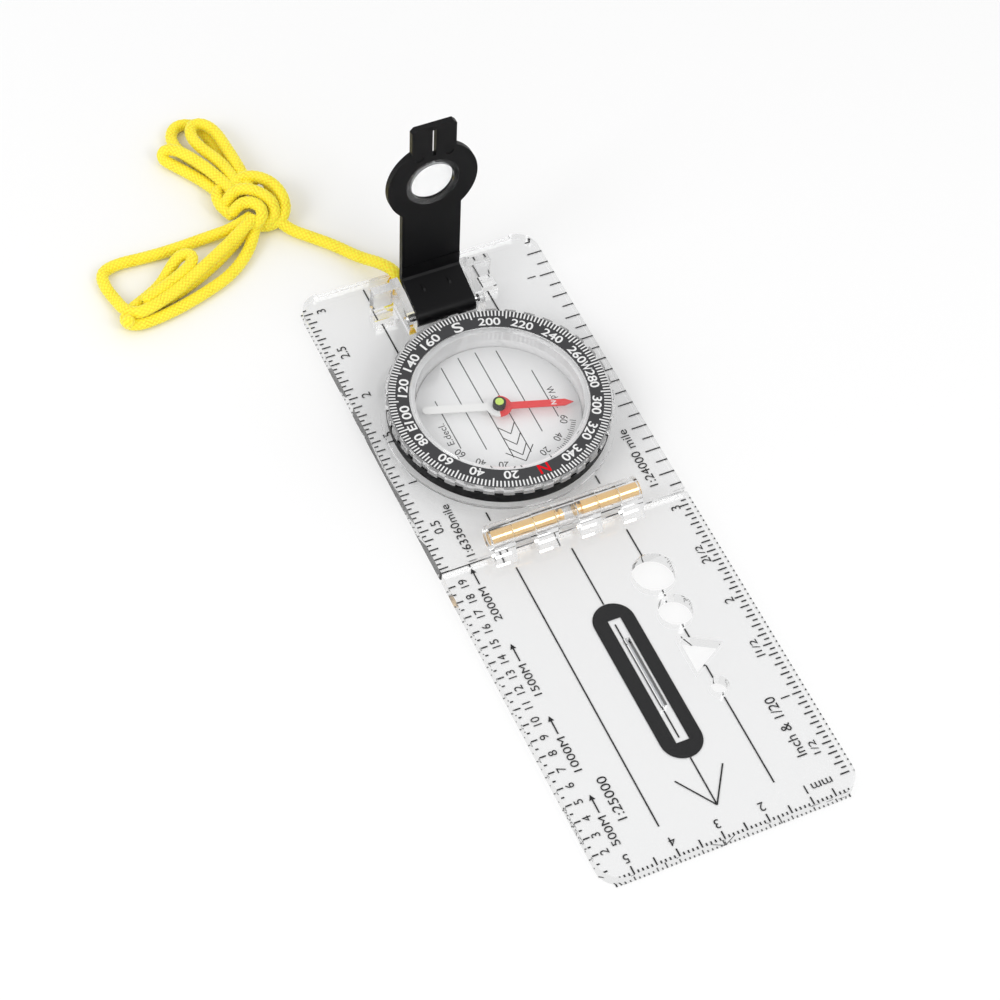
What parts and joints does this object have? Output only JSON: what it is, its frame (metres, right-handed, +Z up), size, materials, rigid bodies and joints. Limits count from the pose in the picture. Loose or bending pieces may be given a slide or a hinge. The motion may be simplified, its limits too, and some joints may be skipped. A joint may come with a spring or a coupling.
{
  "type": "baseplate compass",
  "caption": "Clear baseplate compass with rotating dial, magnetic needle, hinged rule plate, folding sight with a window and slit, and a braided neck lanyard.",
  "frame": {"origin": "on the flat underside of the base plate, below the centre of the dial", "axes": "+Y in the direction of travel, from the folding sight to the far end of the rule plate; +X to the right seen from above; +Z up"},
  "size_m": [0.0959, 0.2194, 0.053],
  "materials": {
    "clear_plate": "clear moulded acrylic, polished",
    "clear_bezel": "clear moulded acrylic, polished",
    "clear_capsule": "clear moulded acrylic, polished",
    "frosted_disc": "pale translucent disc",
    "black_plastic": "black moulded plastic, fine satin",
    "smoke_plastic": "smoked clear plastic",
    "dial_grey": "printed dark grey ring",
    "brass_pin": "turned brass, bright",
    "steel_wire": "drawn wire",
    "needle_red": "steel strip, one half red and one half white",
    "jewel": "polished bearing stone",
    "luminous_paint": "pale green luminous dot",
    "lanyard_yellow": "braided yellow polyester cord"
  },
  "bodies": {
    "base": {"base_plate": "clear_plate", "retaining_ring": "black_plastic", "hinge_pin_left": "brass_pin", "hinge_pin_right": "brass_pin", "lanyard_stop": "lanyard_yellow", "lanyard_lead": "lanyard_yellow", "lanyard_knot": "lanyard_yellow", "lanyard_upper_hank": "lanyard_yellow", "lanyard_lower_hank": "lanyard_yellow"},
    "dial": {"bezel": "clear_bezel", "dial_ring": "dial_grey", "capsule_cup": "clear_capsule", "capsule_lens": "clear_capsule", "orienting_disc": "frosted_disc", "pivot_post": "brass_pin"},
    "magnet": {"needle": "needle_red", "needle_hub": "black_plastic", "jewel_bearing": "jewel", "luminous_dot": "luminous_paint"},
    "rule": {"rule_plate": "clear_plate", "sighting_wire": "steel_wire"},
    "sight": {"sight_arm": "black_plastic", "sight_lens": "clear_capsule", "lens_ring": "smoke_plastic"}
  },
  "joints": [
    {"name": "bezel_turn", "type": "hinge", "parent": "base", "child": "dial", "pos_m": [0, 0, 0.0075], "axis": [0, 0, 1], "continuous": true},
    {"name": "needle_swing", "type": "hinge", "parent": "dial", "child": "magnet", "pos_m": [0, 0, 0.00565], "axis": [0, 0, 1], "continuous": true},
    {"name": "rule_fold", "type": "hinge", "parent": "base", "child": "rule", "pos_m": [0, 0.0318, 0.0067], "axis": [1, 0, 0], "range_deg": [0, 150]},
    {"name": "sight_fold", "type": "hinge", "parent": "base", "child": "sight", "pos_m": [0, -0.0295, 0.0056], "axis": [1, 0, 0], "range_deg": [-95, 0]}
  ]
}
